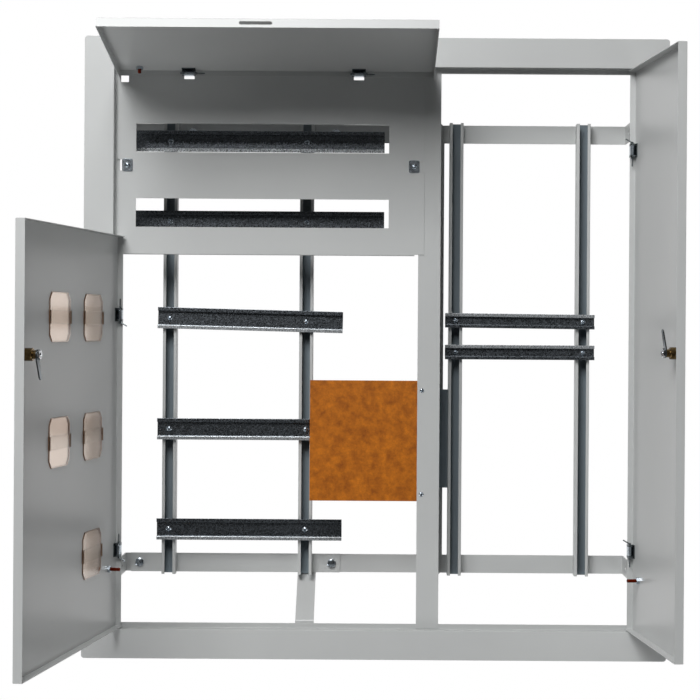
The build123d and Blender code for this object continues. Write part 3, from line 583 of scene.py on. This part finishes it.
# Breaker panel, its clips and their screws
# The painted cover sheet in front of the breaker rails, held at each side by a small zinc-plated clip with
# one cross-head screw.
CLIP_ROLL = 0.3 * MM
CLIP_SCREW = {"head_radius": 4.5 * MM, "head": 2.0 * MM, "radius": 2.0 * MM, "length": 8.0 * MM,
              "pitch": 0.7 * MM}

finished("breaker_panel", grey_paint, FOLD_ROLL)
finished("panel_clips", zinc, CLIP_ROLL)
fasten("panel_clip_screws", pan_screw(**CLIP_SCREW), CLIP_SCREW["head"], SCREW_STEP)


# Hinges
# Six hinges: a leaf on the lip whose neck turns inside the fork of the door's leaf. Stamped steel, bright
# zinc plated on the lip and dark passivated on the doors and the flap, as are the pins. The lower ends of
# the doors' pins are bent over.
DARK_ZINC_COLOURS = ("5C6265", "90979B")
DARK_ZINC_ROUGHNESS = (0.24, 0.24)
HINGE_ROLL = 0.3 * MM
PIN_RADIUS = 2.0 * MM
PIN_EASE = 0.8 * MM
PIN_HALF = 14.0 * MM
WIRE_RADIUS = 1.0 * MM
WIRE_POINT = 0.4 * MM
TAIL_LENGTH, TAIL_EASE = 12.0 * MM, 1.0 * MM
BEND_LENGTH, BEND_EASE = 13.0 * MM, 0.6 * MM
BEND_DROP = radians(30)
PINS = {"meter_door": ((0, 0, 1), "meter_lock_turn"), "telecom_door": ((0, 0, -1), "telecom_lock_turn"),
        "flap": ((1, 0, 0), None)}

joints = {joint["name"]: joint for joint in frame["joints"]}


def hinge_pin(bent):
    """Pin along Z with its middle at zero: round, with rounded ends and a thin tail above. A bent pin has a
    wire end below that leaves the pin at 30 degrees under the X axis, drawn as a second closed rod."""
    tail = PIN_HALF + TAIL_LENGTH
    shapes = [skin([ring(PIN_RADIUS - PIN_EASE, -PIN_HALF), ring(PIN_RADIUS, PIN_EASE - PIN_HALF),
                    ring(PIN_RADIUS, PIN_HALF - PIN_EASE), ring(PIN_RADIUS - PIN_EASE, PIN_HALF),
                    ring(WIRE_RADIUS, PIN_HALF), ring(WIRE_RADIUS, tail - TAIL_EASE),
                    ring(WIRE_POINT, tail)])]
    if bent:
        wire = skin([ring(WIRE_RADIUS, 0.0), ring(WIRE_RADIUS, BEND_LENGTH - BEND_EASE),
                     ring(WIRE_POINT, BEND_LENGTH)])
        start = (0.0, 0.0, PIN_RADIUS - PIN_HALF)
        shapes.append(set_at(wire, start, (cos(BEND_DROP), 0.0, -sin(BEND_DROP))))
    return shapes


# The dark passivation leaves an almost black metal, lighter where it has been rubbed.
dark_plate = clouded_metal("dark_zinc_plate", DARK_ZINC_COLOURS, DARK_ZINC_ROUGHNESS, 3.0)
for node in sorted(solids):
    if "frame_hinge" in node or "hinge_fork" in node:
        finished(node, zinc if "frame_hinge" in node else dark_plate, HINGE_ROLL, steps=3)
for leaf, (tail, lock) in PINS.items():
    node = f"{leaf}_hinge_pins"
    lean = joints[lock]["axis"] if lock else (0, 0, -1)
    pivot = np.array(joints[f"{leaf}_hinge"]["pos_m"])
    pins = []
    for corners in islands(node):
        along = (corners @ np.array(tail)).max() - PIN_HALF - TAIL_LENGTH
        middle = pivot + np.array(tail) * (along - pivot @ np.array(tail))
        pins += [(set_at(shape, middle, tail, lean), 0) for shape in hinge_pin(lock)]
    new_piece(node, pins, [dark_plate])


# Flap and doors
# Shallow trays folded from one sheet each, welded at the corners and painted inside and out. They hang on
# the hinges and close on the trim's lip.
TRAY_ROLL = 0.15 * MM

for node in ("flap", "meter_door", "telecom_door"):
    finished(node, grey_paint, TRAY_ROLL)


# Meter windows
# Clear mouldings that snap into the meter door's openings with a tab at each end. Injection moulded in a
# peach-tinted polycarbonate, with a raised band across the back.
WINDOW_COLOURS, WINDOW_ROUGHNESS = ("D8C3B3", "E4D1C3"), (0.11, 0.19)
WINDOW_EDGE_COLOURS, WINDOW_EDGE_ROUGHNESS = ("5F402A", "77543A"), (0.26, 0.34)
WINDOW_BAND_COLOURS, WINDOW_BAND_ROUGHNESS = ("C4B2A2", "D2C0B0"), (0.16, 0.24)
WINDOW_FLOW = 9.0 * MM
WINDOW_HALF = 49.2 * MM
WINDOW_ROLL = 0.2 * MM
EDGE_NORMAL = 0.5
BAND_OFFSET = 3.0 * MM
BAND_AREA = 4.0e-3

through = Vector(joints["meter_lock_turn"]["axis"])
along_door = through.cross(Vector((0.0, 0.0, 1.0)))


def clear_moulding(name, colours, roughness):
    """Clear polycarbonate, injection moulded: glossy and see-through, tinted by its thickness, with faint
    flow clouds in tint and gloss. Seen edge on it is thick, so that the walls and tabs look brown."""
    material, tree = new_material(name)
    tone, gloss = clouded(tree, WINDOW_FLOW, 2.0, colours, roughness)
    plastic = add(tree, "ShaderNodeBsdfPrincipled", {"Base Color": tone, "Roughness": gloss, "IOR": 1.45,
                                                     "Transmission Weight": 1.0})
    add(tree, "ShaderNodeOutputMaterial", {"Surface": plastic.outputs[0]})
    return material


def window_part(face, middle):
    """Number of a window face's material: 1 on walls and tabs, 2 on the band in the middle, 0 elsewhere."""
    away = face.center - middle
    if abs(face.normal.dot(through)) < EDGE_NORMAL or abs(away.dot(along_door)) > WINDOW_HALF:
        return 1
    return 2 if abs(away.z) < BAND_OFFSET and face.area < BAND_AREA else 0


clear = clear_moulding("clear_polycarbonate", WINDOW_COLOURS, WINDOW_ROUGHNESS)
clear_edge = clear_moulding("clear_polycarbonate_edge", WINDOW_EDGE_COLOURS, WINDOW_EDGE_ROUGHNESS)
clear_band = clear_moulding("clear_polycarbonate_band", WINDOW_BAND_COLOURS, WINDOW_BAND_ROUGHNESS)
for node in sorted(solids):
    if node.startswith("meter_window"):
        low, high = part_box(node)
        finished(node, clear, WINDOW_ROLL, others=[clear_edge, clear_band],
                 chosen=lambda face: window_part(face, (low + high) / 2))


# Earth studs
# A copper-plated steel stud welded to each leaf's skin, with a rolled thread all along, and a zinc-plated
# nut run down on it.
COPPER_COLOURS = ("4A1408", "94341A")
COPPER_ROUGHNESS = (0.32, 0.32)
STUD_RADIUS = 3.0 * MM
STUD_PITCH = 1.0 * MM
STUD_FOOT = 2.7 * MM
STUD_POINT, STUD_EASE = 1.8 * MM, 0.8 * MM
NUT_FLATS = 10.0 * MM
NUT_HEIGHT = 5.0 * MM
NUT_FACE = 0.95
STUDS = {"meter_door": (1, 0, 0), "telecom_door": (-1, 0, 0), "flap": (0, 0, -1)}


def hex_nut(flats, height, bore):
    """Nut along Z from zero to its height: a hexagon with its corners turned off at 30 degrees on both faces
    and a round bore, as one closed section."""
    side = polygon(flats, 6)
    face = NUT_FACE * flats / 2
    drop = (side - flats / 2) * tan(CORNER_ANGLE)
    return skin([ring(bore, 0.0), ring(face, 0.0), ring(side, drop), ring(side, height - drop),
                 ring(face, height), ring(bore, height)], closed=True)


def long_axis(corners, towards):
    """Direction of a rod's length, found by its corner points' greatest spread and turned to a given side."""
    axis = np.linalg.svd(corners - corners.mean(axis=0))[2][0]
    return axis if axis @ np.array(towards) > 0 else -axis


# The copper is dark red-brown where it has tarnished and lighter where it has been rubbed.
copper = clouded_metal("tarnished_copper_plate", COPPER_COLOURS, COPPER_ROUGHNESS, 4.0)
for leaf, inward in STUDS.items():
    node = f"{leaf}_earth_stud"
    rod = islands(node)[0]
    axis = long_axis(rod, inward)
    length = np.ptp(rod @ axis)
    foot = (rod.max(axis=0) + rod.min(axis=0)) / 2 - axis * length / 2
    stud = skin([ring(STUD_FOOT, 0.0)] + thread(STUD_RADIUS, STUD_PITCH, 0.0, length - STUD_EASE)
                + [ring(STUD_POINT, length)])
    nut = hex_nut(NUT_FLATS, NUT_HEIGHT, STUD_RADIUS)
    new_piece(node, [(set_at(stud, foot, axis), 0), (set_at(nut, foot, axis), 1)],
              [copper, zinc])


# Locks
# Quarter-turn locks: a cast bronze housing through the door's skin, a bronze core with a key recess outside
# and a chromed square and stud inside, a chromed nut, and a bent, dark-plated steel cam that the nut holds.
BRONZE_COLOURS, BRONZE_ROUGHNESS = ("4E3B22", "9C8359"), (0.22, 0.22)
CHROME_COLOURS, CHROME_ROUGHNESS = ("C9CCCF", "E6E8EA"), (0.08, 0.08)
HEAD_RADIUS, HEAD_FRONT, SKIN_FRONT = 11.0 * MM, -9.7 * MM, -7.5 * MM
BARREL_RADIUS, BARREL_BACK, BARREL_EASE = 9.0 * MM, 7.0 * MM, 0.6 * MM
CORE_RADIUS, CORE_FRONT, CORE_GAP = 6.0 * MM, -9.1 * MM, 0.05 * MM
CORE_SHARES = np.linspace(0.06, 1.0, 16)
CAM_FRONT, CAM_BACK, CAM_ROLL = 12.5 * MM, 14.5 * MM, 0.3 * MM
SQUARE = 8.0 * MM
END_RADIUS, END_BACK, END_PITCH = 4.0 * MM, 19.2 * MM, 1.25 * MM
END_POINT, END_EASE = 3.0 * MM, 0.5 * MM
LOCK_NUT_FLATS, LOCK_NUT_HEIGHT = 12.6 * MM, 3.2 * MM
KEY_WIDTH, KEY_HEIGHT, KEY_DEPTH, KEY_EASE = 7.0 * MM, 2.0 * MM, 4.0 * MM, 0.3 * MM


def lock_housing():
    """Turned section along Z, which points into the board: a flange with an eased front, barrel and bore."""
    ease = (SKIN_FRONT - HEAD_FRONT) / 2
    bore = CORE_RADIUS + CORE_GAP
    return skin([ring(bore, HEAD_FRONT), ring(HEAD_RADIUS - ease, HEAD_FRONT),
                 ring(HEAD_RADIUS, HEAD_FRONT + ease), ring(HEAD_RADIUS, SKIN_FRONT),
                 ring(BARREL_RADIUS, SKIN_FRONT), ring(BARREL_RADIUS, BARREL_BACK - BARREL_EASE),
                 ring(BARREL_RADIUS - BARREL_EASE, BARREL_BACK), ring(bore, BARREL_BACK)], closed=True)


def lock_core():
    """Core along Z: a face sunk by the key's depth wherever both of a point's distances from the middle lie
    inside the key's outline, a round body, a square for the cam and a threaded end."""
    rings = []
    for share in CORE_SHARES:
        reach = share * CORE_RADIUS
        inside = np.clip((KEY_WIDTH / 2 - np.abs(reach * np.cos(TURN))) / KEY_EASE, 0, 1)
        inside *= np.clip((KEY_HEIGHT / 2 - np.abs(reach * np.sin(TURN))) / KEY_EASE, 0, 1)
        rings.append(ring(reach, CORE_FRONT + KEY_DEPTH * inside))
    square = polygon(SQUARE, 4)
    end = [ring(square, CAM_FRONT), ring(square, CAM_BACK)]
    end += thread(END_RADIUS, END_PITCH, CAM_BACK, END_BACK - END_EASE) + [ring(END_POINT, END_BACK)]
    return skin(rings + [ring(CORE_RADIUS, CAM_FRONT)]), skin(end)


# Cast bronze is a dull yellow-brown with darker clouds. Chrome mirrors the room almost without a blur.
bronze = clouded_metal("cast_bronze", BRONZE_COLOURS, BRONZE_ROUGHNESS, 4.0)
chrome = clouded_metal("bright_chrome", CHROME_COLOURS, CHROME_ROUGHNESS, 4.0)
for leaf in ("meter", "telecom"):
    turn = joints[f"{leaf}_lock_turn"]
    origin, axis = np.array(turn["pos_m"]), np.array(turn["axis"])
    across = np.cross(axis, (0, 0, 1))
    new_piece(f"{leaf}_lock_housing", [(set_at(lock_housing(), origin, axis), 0)], [bronze])
    body, end = lock_core()
    nut = hex_nut(LOCK_NUT_FLATS, LOCK_NUT_HEIGHT, END_RADIUS)
    new_piece(f"{leaf}_lock_core",
              [(set_at(body, origin, axis, across), 1), (set_at(end, origin, axis, across), 0),
               (set_at(nut, origin + axis * CAM_BACK, axis, across), 0)], [chrome, bronze])
    finished(f"{leaf}_lock_cam", dark_plate, CAM_ROLL)
